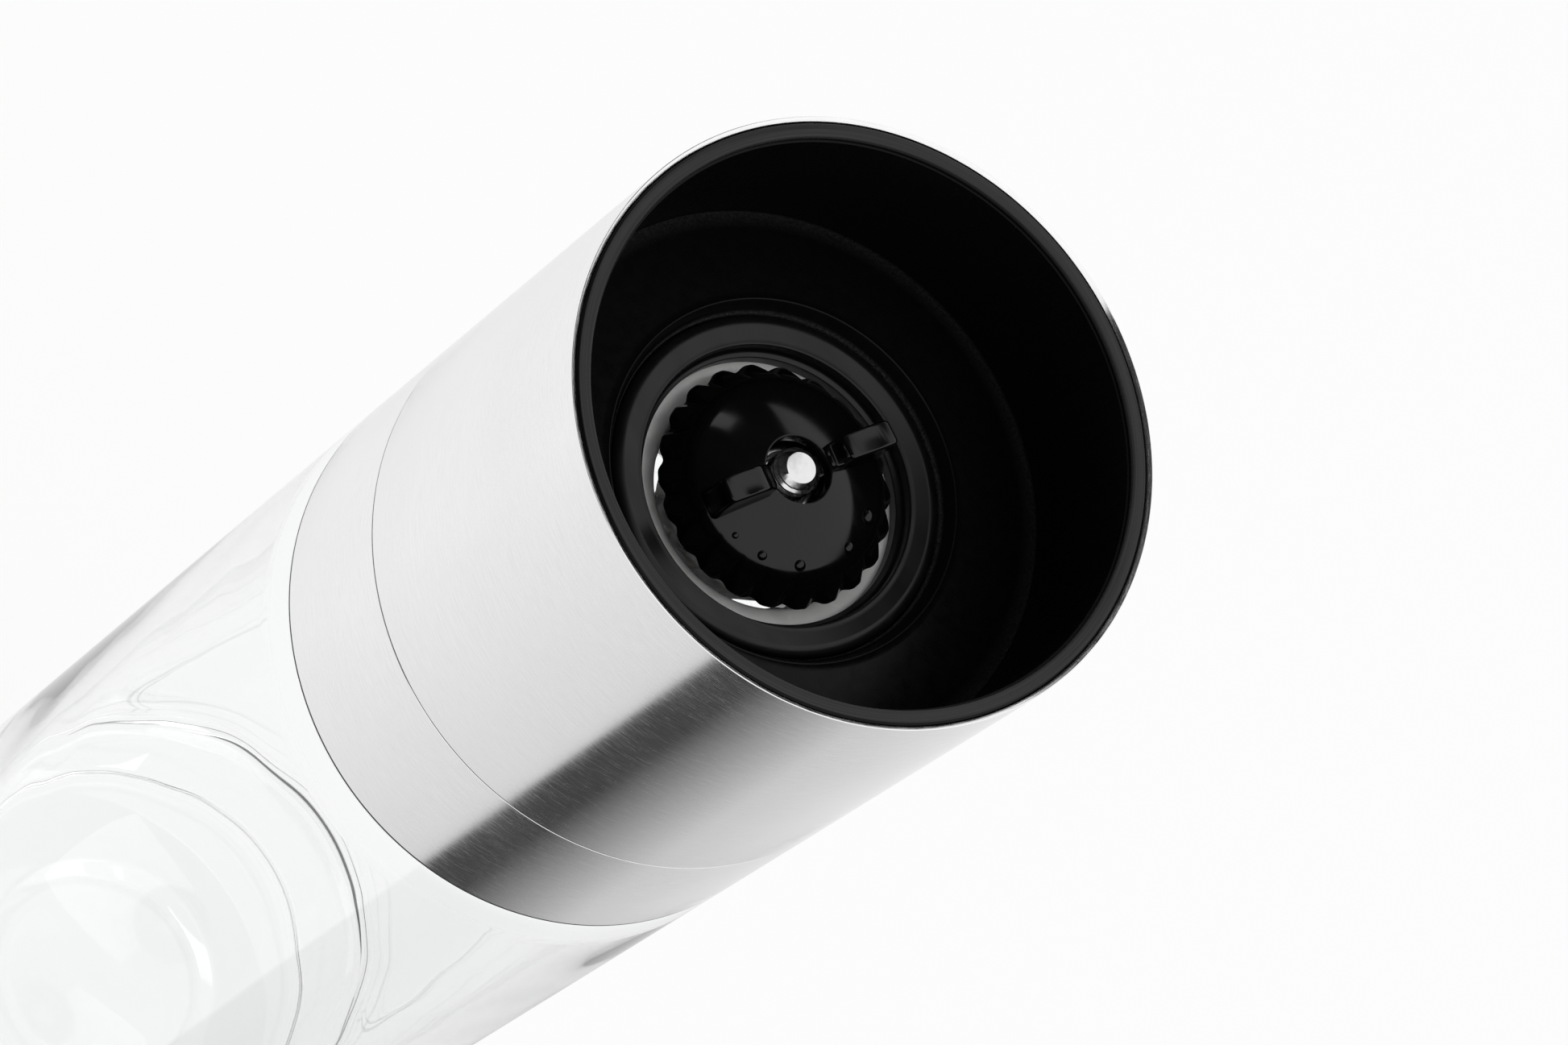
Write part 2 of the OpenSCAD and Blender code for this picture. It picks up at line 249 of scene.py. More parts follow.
def block(size, centre, rounding, upright_rounding=0.0):
    """A box whose upright edges and top and bottom edges are rounded."""
    mesh = bmesh.new()
    bmesh.ops.create_cube(mesh, size=1, matrix=Matrix.Translation(centre) @ Matrix.Diagonal((*size, 1)))
    upright = [e for e in mesh.edges if abs(e.verts[0].co.z - e.verts[1].co.z) > size[2] / 2]
    offset = upright_rounding or rounding
    bmesh.ops.bevel(mesh, geom=upright, offset=offset, segments=6, profile=0.5, affect="EDGES", material=-1)
    ends = [centre[2] - size[2] / 2, centre[2] + size[2] / 2]
    near = 0.001 * MM
    level = [e for e in mesh.edges if any(all(abs(v.co.z - end) < near for v in e.verts) for end in ends)]
    bmesh.ops.bevel(mesh, geom=level, offset=rounding, segments=5, profile=0.5, affect="EDGES", material=-1)
    return mesh


def smoothstep(value, start, end):
    share = min(1.0, max(0.0, (value - start) / (end - start)))
    return share * share * (3 - 2 * share)


def soft_min(a, b, blend):
    """The lesser of two lengths, with the corner between them rounded over blend."""
    share = max(0.0, blend - abs(a - b)) / blend
    return min(a, b) - share * share * blend / 4


def piece(name, mesh, finish, body, replaced=(), crease=35):
    """Makes the finished object, which rides on a body of the frame and stands for its nodes."""
    data = bpy.data.meshes.new(name)
    for face in mesh.faces:
        face.smooth = True
    for edge in mesh.edges:
        edge.smooth = edge.calc_face_angle(0) < math.radians(crease)
    mesh.to_mesh(data)
    mesh.free()
    data.materials.append(finish)
    made = bpy.data.objects.new(name, data)
    bpy.context.scene.collection.objects.link(made)
    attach(made, body)
    if replaced:
        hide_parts(*replaced)
    return made


# ---------------------------------------------------------------- finishes


class Finish:
    """A material with one Principled shader and the nodes that drive it."""

    def __init__(self, name, base, roughness, **constants):
        self.material = bpy.data.materials.new("mill_" + name)
        self.material.use_nodes = True
        self.tree = self.material.node_tree
        self.shader = next(n for n in self.tree.nodes if n.type == "BSDF_PRINCIPLED")
        self.shader.inputs["Base Color"].default_value = (*base, 1)
        self.shader.inputs["Roughness"].default_value = roughness
        for socket, value in constants.items():
            self.shader.inputs[socket.replace("_", " ")].default_value = value
        self.place = self.add("ShaderNodeTexCoord").outputs["Object"]

    def add(self, kind, **settings):
        node = self.tree.nodes.new(kind)
        for key, value in settings.items():
            setattr(node, key, value)
        return node

    def join(self, output, socket):
        self.tree.links.new(output, socket)

    def stretched(self, scale):
        """Object coordinates, scaled along each axis."""
        node = self.add("ShaderNodeMapping")
        node.inputs["Scale"].default_value = scale
        self.join(self.place, node.inputs["Vector"])
        return node.outputs["Vector"]

    def noise(self, scale, detail=2.0, roughness=0.5):
        """Noise whose grain is 1 / scale along each axis."""
        node = self.add("ShaderNodeTexNoise")
        node.inputs["Scale"].default_value = 1
        node.inputs["Detail"].default_value = detail
        node.inputs["Roughness"].default_value = roughness
        self.join(self.stretched(scale), node.inputs["Vector"])
        return node.outputs["Fac"]

    def rings(self, grain, drift):
        """Noise in fine rings round the axis, which slowly change along the ring."""
        whole = self.add("ShaderNodeCombineXYZ")
        self.join(self.sum(self.radius(), grain, "MULTIPLY"), whole.inputs["X"])
        mixed = self.add("ShaderNodeVectorMath", operation="ADD")
        self.join(whole.outputs["Vector"], mixed.inputs[0])
        self.join(self.stretched((drift, drift, drift)), mixed.inputs[1])
        node = self.add("ShaderNodeTexNoise")
        node.inputs["Scale"].default_value = 1
        self.join(mixed.outputs["Vector"], node.inputs["Vector"])
        return node.outputs["Fac"]

    def ranged(self, value, start, end, first, last, smooth=False):
        """value from start to end, mapped to first to last and held there beyond."""
        node = self.add("ShaderNodeMapRange")
        if smooth:
            node.interpolation_type = "SMOOTHSTEP"
        for socket, number in zip(("From Min", "From Max", "To Min", "To Max"), (start, end, first, last)):
            node.inputs[socket].default_value = number
        self.join(value, node.inputs["Value"])
        return node.outputs["Result"]

    def sum(self, first, second, operation="ADD"):
        node = self.add("ShaderNodeMath", operation=operation)
        for socket, value in zip(node.inputs, (first, second)):
            if isinstance(value, (int, float)):
                socket.default_value = value
            else:
                self.join(value, socket)
        return node.outputs["Value"]

    def height(self):
        """Height along the mill's axis."""
        node = self.add("ShaderNodeSeparateXYZ")
        self.join(self.place, node.inputs["Vector"])
        return node.outputs["Z"]

    def radius(self):
        """Distance from the mill's axis."""
        flat = self.add("ShaderNodeVectorMath", operation="MULTIPLY")
        flat.inputs[1].default_value = (1, 1, 0)
        self.join(self.place, flat.inputs[0])
        node = self.add("ShaderNodeVectorMath", operation="LENGTH")
        self.join(flat.outputs["Vector"], node.inputs[0])
        return node.outputs["Value"]

    def tinted(self, value, dark, light):
        """Base colour between two greys or colours, driven by value."""
        node = self.add("ShaderNodeMix", data_type="RGBA")
        sockets = [s for s in node.inputs if s.type == "RGBA"]
        sockets[0].default_value = (*dark, 1)
        sockets[1].default_value = (*light, 1)
        self.join(value, node.inputs["Factor"])
        self.join(next(s for s in node.outputs if s.type == "RGBA"), self.shader.inputs["Base Color"])

    def rough(self, value, low_end, high_end, smooth, matt):
        self.join(self.ranged(value, low_end, high_end, smooth, matt), self.shader.inputs["Roughness"])

    def bump(self, height, depth, below=None):
        """Relief of the given depth in metres, on top of another relief if one is given."""
        node = self.add("ShaderNodeBump")
        node.inputs["Strength"].default_value = 1
        node.inputs["Distance"].default_value = depth
        self.join(height, node.inputs["Height"])
        if below is not None:
            self.join(below, node.inputs["Normal"])
        self.join(node.outputs["Normal"], self.shader.inputs["Normal"])
        return node.outputs["Normal"]


def shade(tone, factor):
    return tuple(min(1.0, c * factor) for c in tone)


def brushed_steel(colours):
    """Steel brushed round the axis: fine hairlines, and light that spreads along the axis."""
    made = Finish(
        "brushed_steel", colours.steel, 0.3, Metallic=1, Anisotropic=0.85, Anisotropic_Rotation=0.25
    )
    hairs = made.noise((600, 600, 11000), detail=3, roughness=0.65)
    patches = made.noise((60, 60, 60), detail=3)
    made.rough(made.sum(hairs, made.sum(patches, 0.4, "MULTIPLY")), 0.5, 1, 0.1, 0.32)
    made.tinted(made.ranged(hairs, 0.35, 0.65, 0, 1), shade(colours.steel, 0.94), shade(colours.steel, 1.04))
    made.bump(hairs, 0.0016 * MM)
    tangent = made.add("ShaderNodeTangent", direction_type="RADIAL", axis="Z")
    made.join(tangent.outputs["Tangent"], made.shader.inputs["Tangent"])
    return made.material


def bright_steel(colours):
    made = Finish("bright_steel", colours.bright_steel, 0.16, Metallic=1)
    marks = made.noise((1500, 1500, 1500), detail=4)
    made.rough(marks, 0.35, 0.7, 0.1, 0.26)
    made.bump(marks, 0.004 * MM)
    return made.material


def spring_steel(colours):
    made = Finish("spring_steel", colours.spring_steel, 0.32, Metallic=1)
    marks = made.noise((900, 900, 900), detail=3)
    made.rough(marks, 0.3, 0.7, 0.24, 0.42)
    return made.material


def gloss_black(colours):
    """Polished black plastic with a faint orange-peel, and a softer gloss on the housing than on the knob."""
    made = Finish("gloss_black", colours.gloss_black, 0.1, Specular_IOR_Level=0.38)
    peel = made.noise((500, 500, 500), detail=2)
    smears = made.noise((160, 420, 260), detail=5)
    housing = made.ranged(made.radius(), 10.7 * MM, 11 * MM, 0, 0.2)
    made.join(made.sum(made.ranged(smears, 0.4, 0.7, 0.09, 0.18), housing), made.shader.inputs["Roughness"])
    made.bump(peel, 0.002 * MM)
    return made.material


def liner_black(colours):
    """Satin black plastic: a lip painted paler as a painted sheen, a lightly scratched wall and a
    fine-grained floor painted paler than the wall as painted light.
    """
    made = Finish("liner_black", colours.liner_black, 0.4, Specular_IOR_Level=0.13)
    height = made.height()
    grain = made.noise((5200, 5200, 5200), detail=2, roughness=0.6)
    scuffs = made.noise((900, 900, 90), detail=4)
    on_floor = made.ranged(height, FLOOR_CORNER - 0.2 * MM, FLOOR_CORNER + 0.2 * MM, 1, 0)
    inside = made.ranged(made.radius(), LINER_RADIUS - 0.24 * MM, LINER_RADIUS - 0.18 * MM, 1, 0)
    streaks = made.ranged(made.rings(7000, 60), 0.3, 0.7, 0.55, 1.1)
    # Painted sheen: the lip's colour is lifted to stand in for its gloss, and fine rings streak it
    lip = made.sum(made.ranged(height, RIM - 0.55 * MM, RIM - 0.4 * MM, 0, 1), inside, "MULTIPLY")
    # Partly real grain and partly painted light: the floor's colour is lifted above the wall's where light
    # falls on it
    floor_grain_and_painted_light = made.sum(made.ranged(grain, 0.35, 0.65, 0.2, 1), on_floor, "MULTIPLY")
    tone = made.sum(made.sum(lip, streaks, "MULTIPLY"), floor_grain_and_painted_light)
    # Base colour lifted by the painted sheen on the lip and the painted light on the floor
    made.tinted(tone, colours.liner_black, shade(colours.liner_black, 15))
    satin = made.ranged(scuffs, 0.35, 0.7, 0.24, 0.36)
    made.join(made.sum(satin, made.sum(on_floor, 0.25, "MULTIPLY")), made.shader.inputs["Roughness"])
    floor_grain = made.sum(grain, on_floor, "MULTIPLY")
    relief = made.bump(floor_grain, 0.09 * MM)
    made.bump(scuffs, 0.002 * MM, relief)
    return made.material


def black_plastic(colours):
    made = Finish("black_plastic", colours.black_plastic, 0.45)
    grain = made.noise((1800, 1800, 1800), detail=2)
    made.rough(grain, 0.3, 0.7, 0.38, 0.52)
    made.bump(grain, 0.008 * MM)
    return made.material


def burr_ceramic(colours):
    """Fired ceramic: dense and smooth, with a faint mottle and fine pores."""
    made = Finish(
        "burr_ceramic",
        colours.ceramic,
        0.22,
        Specular_IOR_Level=0.35,
        Subsurface_Weight=0.5,
        Subsurface_Radius=(1, 1, 1),
        Subsurface_Scale=1 * MM,
    )
    mottle = made.noise((700, 700, 700), detail=4)
    pores = made.noise((5000, 5000, 5000), detail=1)
    made.tinted(mottle, shade(colours.ceramic, 0.9), shade(colours.ceramic, 1.06))
    inside = made.ranged(made.radius(), 9.2 * MM, 9.5 * MM, 0.35, 0)
    made.join(made.sum(made.ranged(mottle, 0.3, 0.7, 0.16, 0.3), inside), made.shader.inputs["Roughness"])
    made.bump(pores, 0.003 * MM)
    return made.material


def seal_silicone(colours):
    made = Finish("seal_silicone", colours.silicone, 0.4, Subsurface_Weight=0.2, Subsurface_Scale=1 * MM)
    cloud = made.noise((600, 600, 600), detail=2)
    made.rough(cloud, 0.3, 0.7, 0.32, 0.48)
    return made.material


def clear_glass(colours):
    """Moulded glass with a slow ripple."""
    made = Finish("clear_glass", colours.glass, 0.0, Transmission_Weight=1, IOR=1.5)
    ripple = made.noise((70, 70, 45), detail=1)
    made.bump(ripple, 0.06 * MM)
    return made.material


FINISHES = {
    "brushed_steel": brushed_steel,
    "bright_steel": bright_steel,
    "spring_steel": spring_steel,
    "gloss_black": gloss_black,
    "liner_black": liner_black,
    "black_plastic": black_plastic,
    "slip_plastic": black_plastic,
    "burr_ceramic": burr_ceramic,
    "seal_silicone": seal_silicone,
    "clear_glass": clear_glass,
}


def finish(name):
    """The material of that finish, made the first time it is asked for."""
    maker = FINISHES[name]
    return bpy.data.materials.get("mill_" + maker.__name__) or maker(bpy.context.scene.mill_finish)


# ---------------------------------------------------------------- pieces


def steel_shell(name, node, body, shape, raised=0.0, extended=0.0):
    """A steel tube with rolled edges, seen inside and out."""
    outer = reach(node)
    inner = outer - shape.steel_wall
    bottom = low(node) + raised
    end = top(node) + extended
    edge = shape.steel_edge
    mesh = turned(
        [
            (inner, bottom, edge / 3),
            (outer, bottom, edge),
            (outer, end, edge),
            (outer - 1.3 * edge, end),
            (inner, end - 4 * edge, edge),
        ],
        steps=ROUND_STEPS,
    )
    return piece(name, mesh, finish("brushed_steel"), body, [node])


def washer_mesh(shape):
    """The thin black washer that shows as a line between the collar and the glass."""
    foot = low("collar_shell") - 0.1 * MM
    crest = low("collar_shell") + shape.washer_line
    outer = reach("collar_shell") - 0.01 * MM
    inner = outer - 1 * MM
    edge = 0.03 * MM
    corners = [(inner, foot, edge), (outer, foot, edge), (outer, crest, edge), (inner, crest, edge)]
    return turned(corners, steps=ROUND_STEPS)


def flute_limit(angle, height, shape, knob_radius):
    """Radius of the wavy flute surface, which leans inwards with height."""
    valley = knob_radius - 0.47 * MM
    depth = 0.62 * MM
    first_valley = shape.wing_angle + math.radians(1.8)
    fullness = 0.8
    lean = math.tan(math.radians(28))
    wave = (1 - math.cos((angle - first_valley) * shape.flutes)) / 2
    return valley + depth * wave**fullness - (height - KNOB_EDGE) * lean


def crown_height(distance):
    """Height of the knob's crown: a flat dome, a rounded shoulder and a straight slope to the edge."""
    dome = 18.5 * MM
    shoulder = 2.733 * MM
    dome_end = 7.6 * MM
    slope_start = 8.9 * MM
    slope = 1.16
    centre = KNOB_EDGE + HUB_HEIGHT - math.sqrt(dome**2 - HUB_RADIUS**2)
    if distance <= dome_end:
        return centre + math.sqrt(dome**2 - distance**2)
    offset = shoulder * dome_end / dome - dome_end
    rise = math.sqrt(dome**2 - dome_end**2) * (1 - shoulder / dome)
    bend = min(distance, slope_start)
    height = centre + rise + math.sqrt(shoulder**2 - (bend + offset) ** 2)
    return height - (distance - bend) * slope


def knob_mesh(shape):
    """The domed, fluted knob with its two finger wings and its row of pips."""
    radius = reach("adjuster_knob")
    hub = HUB_RADIUS
    pocket = 4.08 * MM
    pocket_top = top("knob_nut") + 0.05 * MM
    zone = radius - 1.9 * MM
    inner_steps = 24
    outer_steps = 44

    crown = [hub + (zone - hub) * i / inner_steps for i in range(inner_steps)]
    crown += [zone + (radius - zone) * i / outer_steps for i in range(outer_steps + 1)]
    outline = [(r, crown_height(r)) for r in crown]
    outline[0] = (hub, crown_height(hub), 0.14 * MM)
    outline += [
        (radius, KNOB_EDGE, 0.12 * MM),
        (radius - 1.5 * MM, KNOB_EDGE),
        (pocket, KNOB_EDGE),
        (pocket, pocket_top),
        (hub, pocket_top),
    ]
    mesh = turned(outline, steps=shape.flutes * 16)

    def fluted(distance, angle, height):
        if distance < zone:
            return distance, height
        limit = flute_limit(angle, height, shape, radius)
        return max(zone, soft_min(distance, limit, 0.07 * MM)), height

    worked(mesh, fluted)
    for extra in (*wing_meshes(shape), *pip_meshes()):
        merge(mesh, extra)
    return mesh


def wing_meshes(shape):
    """Two upright finger wings: one steps down to the hub, the other slopes down to it."""
    inner = 3.35 * MM
    outer = 8.15 * MM
    thick = 2.2 * MM
    crest = top("adjuster_knob")
    foot = crown_height(outer) - 0.6 * MM
    step_top = crown_height(3 * MM) + 0.85 * MM
    rows = 14
    flare = 0.14 * MM
    flare_height = 1.4 * MM
    dish_depth = 0.05 * MM
    made = []
    for side, start, slope in ((0, inner + 0.15 * MM, 0), (math.pi, inner - 0.3 * MM, 1.7 * MM)):
        wing = block(
            (outer - start, thick, crest - foot),
            ((outer + start) / 2, 0, (crest + foot) / 2),
            0.28 * MM,
            0.42 * MM,
        )
        for cut in range(1, rows):
            for along, plane in (((crest - foot) * cut / rows, "Z"), ((outer - start) * cut / rows, "X")):
                axis = Vector((plane == "X", 0, plane == "Z"))
                origin = Vector((start + along, 0, foot + along))
                bmesh.ops.bisect_plane(
                    wing, geom=wing.verts[:] + wing.edges[:] + wing.faces[:], plane_co=origin, plane_no=axis
                )
        for vert in wing.verts:
            above = vert.co.z - crown_height(min(abs(vert.co.x), outer))
            spread = flare * smoothstep(flare_height - above, 0, flare_height)
            vert.co.y += math.copysign(spread, vert.co.y)
            dish = smoothstep(vert.co.z, crest - 0.02 * MM, crest)
            dish *= smoothstep(vert.co.x, inner, inner + 2.6 * MM)
            vert.co.z -= dish_depth * dish * smoothstep(outer - vert.co.x, 0.6 * MM, 1.6 * MM)
            if not slope:
                vert.co.z -= 0.08 * (vert.co.y + 1.25 * MM) * smoothstep(vert.co.z, foot, crest)
            else:
                fall = smoothstep(start + slope - vert.co.x, 0, slope)
                vert.co.z -= fall * MM * smoothstep(vert.co.z, foot, crest)
        made.append((wing, side))
        if not slope:
            step = block(
                (1.5 * MM, thick - 0.12 * MM, step_top - foot),
                (inner + 0.2 * MM, 0, (step_top + foot) / 2),
                0.22 * MM,
                0.3 * MM,
            )
            made.append((step, side))
    for wing, side in made:
        turn = Matrix.Rotation(shape.wing_angle + side, 3, "Z")
        bmesh.ops.rotate(wing, verts=wing.verts[:], cent=(0, 0, 0), matrix=turn)
    return [wing for wing, side in made]


# Each pip's distance from the axis in millimetres, its azimuth in degrees and its diameter in millimetres
PIPS = ((7.6, 280.1, 0.55), (7.58, 300.4, 0.8), (7.52, 325.6, 0.95), (7.38, 3.4, 1.1), (7.23, 29.8, 1.4))


def pip_meshes():
    """Raised pips of growing size that mark which way to turn the knob."""
    step = 0.1 * MM
    flatness = 0.55
    made = []
    for distance, azimuth, diameter in PIPS:
        angle = math.radians(azimuth)
        distance *= MM
        spot = Vector((distance * math.cos(angle), distance * math.sin(angle), crown_height(distance)))
        fall = (crown_height(distance) - crown_height(distance + step)) / step
        up = Vector((math.cos(angle) * fall, math.sin(angle) * fall, 1)).normalized()
        lie = up.to_track_quat("Z", "Y").to_matrix().to_4x4()
        pip = bmesh.new()
        bmesh.ops.create_uvsphere(
            pip,
            u_segments=28,
            v_segments=14,
            radius=diameter / 2 * MM,
            matrix=Matrix.Translation(spot) @ lie @ Matrix.Diagonal((1, 1, flatness, 1)),
        )
        made.append(pip)
    return made


def thread_cut(angle, height, pitch, depth):
    """Depth of a right-handed triangular thread below its crest."""
    phase = (height / pitch - angle / TURN) % 1
    return depth * max(0.0, 1 - abs(2 * phase - 1) * 1.15)


def spindle_mesh(shape):
    """The square spindle with its head and its threaded stud."""
    stud_top = top("spindle")
    stud_radius = 2 * MM
    chamfer = 0.72 * MM
    stud_foot = stud_top - 6.8 * MM
    depth = 0.34 * MM
    half = 2.3 * MM
    head_low = low("spindle")
    head_top = head_low + 1.5 * MM
    mesh = turned(
        [
            (0, stud_foot - 1 * MM),
            (stud_radius, stud_foot - 1 * MM),
            (stud_radius, stud_top - chamfer),
            (stud_radius - chamfer, stud_top, 0.04 * MM),
            (0, stud_top),
        ],
        steps=96,
        fine=((stud_foot, stud_top - 0.01 * MM, 0.06 * MM),),
        closed=False,
    )

    def threaded(distance, angle, height):
        if distance < stud_radius - chamfer - 0.1 * MM or height < stud_foot:
            return distance, height
        return min(distance, stud_radius - thread_cut(angle, height, shape.stud_pitch, depth)), height

    worked(mesh, threaded)
    square = block(
        (2 * half, 2 * half, stud_foot - head_top + 0.2 * MM),
        (0, 0, (stud_foot + head_top - 0.2 * MM) / 2),
        0.25 * MM,
    )
    merge(mesh, square)
    head = turned(
        [(0, head_low), (5 * MM, head_low, 0.3 * MM), (5 * MM, head_top, 0.15 * MM), (0, head_top)],
        steps=96,
        closed=False,
    )
    merge(mesh, head)
    return mesh


def merge(mesh, other):
    """Adds another mesh's faces to this one."""
    data = bpy.data.meshes.new("part")
    other.to_mesh(data)
    other.free()
    mesh.from_mesh(data)
    bpy.data.meshes.remove(data)


def nut_mesh(shape):
    """A hexagon nut with chamfered corners and a threaded bore."""
    flats = 3.5 * MM
    corner = flats / math.cos(math.pi / 6)
    bottom = low("knob_nut")
    end = top("knob_nut") - 1.1 * MM
    bore = 2.05 * MM
    mesh = turned(
        [
            (bore + 0.3 * MM, bottom),
            (flats, bottom),
            (corner, bottom + 0.3 * MM),
            (corner, end - 0.3 * MM),
            (flats - 0.1 * MM, end),
            (bore + 0.3 * MM, end),
            (bore, end - 0.3 * MM),
            (bore, bottom + 0.3 * MM),
        ],
        steps=96,
        fine=((bottom + 0.4 * MM, end - 0.4 * MM, 0.09 * MM),),
    )

    def hexagonal(distance, angle, height):
        sixth = (angle + math.pi / 6) % (math.pi / 3) - math.pi / 6
        limit = flats / math.cos(math.pi / 6 - abs(sixth))
        if distance < bore + 0.01 * MM:
            return distance + thread_cut(angle, height, shape.stud_pitch, 0.3 * MM), height
        return min(distance, limit), height

    return worked(mesh, hexagonal)


def liner_mesh(shape):
    """The recess liner: rolled lip, drafted wall, rising floor and the skirt behind them."""
    skirt = low("head_liner")
    crest = top("head_liner")
    lip_in = LINER_RADIUS - shape.lip_width
    corner = lip_in - 0.3 * MM
    hole = reach("grinder_housing") + 0.15 * MM
    ridge = hole + 0.75 * MM
    ridge_z = FLOOR_CORNER + 1.3 * MM
    shelf = RIM - 18.1 * MM
    ledge_top = skirt + 3.5 * MM
    skirt_in = LINER_RADIUS - 1.5 * MM
    return turned(
        [
            (LINER_RADIUS, skirt),
            (LINER_RADIUS, crest - 0.25 * MM, 0.08 * MM),
            (LINER_RADIUS - 0.22 * MM, crest, 0.08 * MM),
            (lip_in + 0.02 * MM, crest, 0.2 * MM),
            (lip_in, crest - 0.65 * MM),
            (lip_in - 0.2 * MM, crest - 0.67 * MM, 0.04 * MM),
            (corner, FLOOR_CORNER - 0.18 * MM),
            (corner - 0.1 * MM, FLOOR_CORNER - 0.18 * MM),
            (corner - 0.1 * MM, FLOOR_CORNER, 0.03 * MM),
            (ridge + 0.4 * MM, ridge_z - 0.25 * MM, 0.3 * MM),
            (ridge, ridge_z, 0.14 * MM),
            (hole, FLOOR_CORNER - 0.25 * MM, 0.1 * MM),
            (hole, shelf),
            (hole - 0.85 * MM, shelf),
            (hole - 0.85 * MM, shelf - 1.45 * MM),
            (ridge + 1.5 * MM, shelf - 1.45 * MM, 0.2 * MM),
            (skirt_in - 1 * MM, FLOOR_CORNER - 1.6 * MM, 0.5 * MM),
            (skirt_in, FLOOR_CORNER - 3 * MM, 0.5 * MM),
            (skirt_in, ledge_top),
            (skirt_in - 0.9 * MM, ledge_top, 0.1 * MM),
            (skirt_in - 0.9 * MM, skirt, 0.1 * MM),
        ],
        steps=ROUND_STEPS,
    )


def housing_mesh():
    """The grinder housing: a flange with a rounded rim, a dished face and the lip that holds the ring."""
    flange = reach("grinder_housing")
    body = 13.45 * MM
    face = HOUSING_FACE
    flange_low = RIM - 18.05 * MM
    bottom = low("grinder_housing")
    bore = 11.76 * MM
    lip = RIM - 17.25 * MM
    lip_in = 11.14 * MM
    ring_seat = reach("burr_ring") + 0.1 * MM
    return turned(
        [
            (body, bottom, 0.1 * MM),
            (body, flange_low),
            (flange, flange_low, 0.1 * MM),
            (flange, face - 0.4 * MM, 0.3 * MM),
            (flange - 0.6 * MM, face, 0.3 * MM),
            (flange - 0.95 * MM, face - 0.04 * MM, 0.2 * MM),
            (bore + 0.4 * MM, face - 0.31 * MM, 0.15 * MM),
            (bore, face - 0.29 * MM, 0.16 * MM),
            (bore - 0.1 * MM, lip + 0.05 * MM, 0.25 * MM),
            (lip_in, lip - 0.1 * MM, 0.08 * MM),
            (lip_in, lip - 1.2 * MM),
            (ring_seat, lip - 1.2 * MM),
            (ring_seat, bottom),
        ],
        steps=ROUND_STEPS,
    )


def ring_mesh(shape):
    """The fixed ceramic ring, with a polished mouth and slanted teeth inside."""
    outer = reach("burr_ring")
    end = 9.35 * MM
    mouth = RING_TOP - 0.9 * MM
    wide = mouth - 0.5 * MM
    bottom = low("burr_ring")
    fine_z = wide - 3 * MM
    fine_r = end - 1 * MM
    mesh = turned(
        [
            (end + 0.3 * MM, bottom, 0.1 * MM),
            (outer, bottom, 0.2 * MM),
            (outer, mouth, 0.2 * MM),
            (end + 1.25 * MM, mouth, 0.25 * MM),
            (end, wide, 0.3 * MM),
            (fine_r, fine_z, 0.3 * MM),
            (fine_r, fine_z - 2 * MM),
        ],
        steps=shape.ring_teeth * 16,
        fine=((bottom, wide, 0.4 * MM),),
    )

    def toothed(distance, angle, height):
        if distance > outer - 1 * MM or height > wide - 0.3 * MM:
            return distance, height
        phase = (angle * shape.ring_teeth / TURN + (height - bottom) / (14 * MM)) % 1
        groove = max(0.0, 1 - abs(phase - 0.5) * 4)
        return distance + 0.55 * MM * smoothstep(groove, 0, 1), height

    return worked(mesh, toothed)


def rotor_mesh(shape):
    """The turning ceramic burr, a cone with slanted teeth round a plain bore."""
    bottom = low("rotor_burr")
    end = top("rotor_burr")
    bore = 4.95 * MM
    wide = 8.9 * MM
    wide_z = RING_TOP - 0.9 * MM
    mesh = turned(
        [
            (bore, bottom, 0.1 * MM),
            (bore + 1.1 * MM, bottom, 0.3 * MM),
            (wide - 1 * MM, wide_z - 3 * MM, 0.3 * MM),
            (wide, wide_z, 0.2 * MM),
            (wide - 0.4 * MM, end, 0.15 * MM),
            (bore, end, 0.1 * MM),
        ],
        steps=shape.rotor_teeth * 20,
        fine=((bottom, wide_z, 0.4 * MM),),
    )

    def toothed(distance, angle, height):
        if distance < bore + 0.9 * MM or height > wide_z:
            return distance, height
        phase = (angle * shape.rotor_teeth / TURN - (height - bottom) / (10 * MM)) % 1
        groove = smoothstep(1 - abs(phase - 0.5) * 3, 0, 1)
        deep = 0.35 * MM + 1.1 * MM * smoothstep(wide_z - height, 0, wide_z - bottom)
        return max(bore + 0.8 * MM, distance - deep * groove), height

    return worked(mesh, toothed)


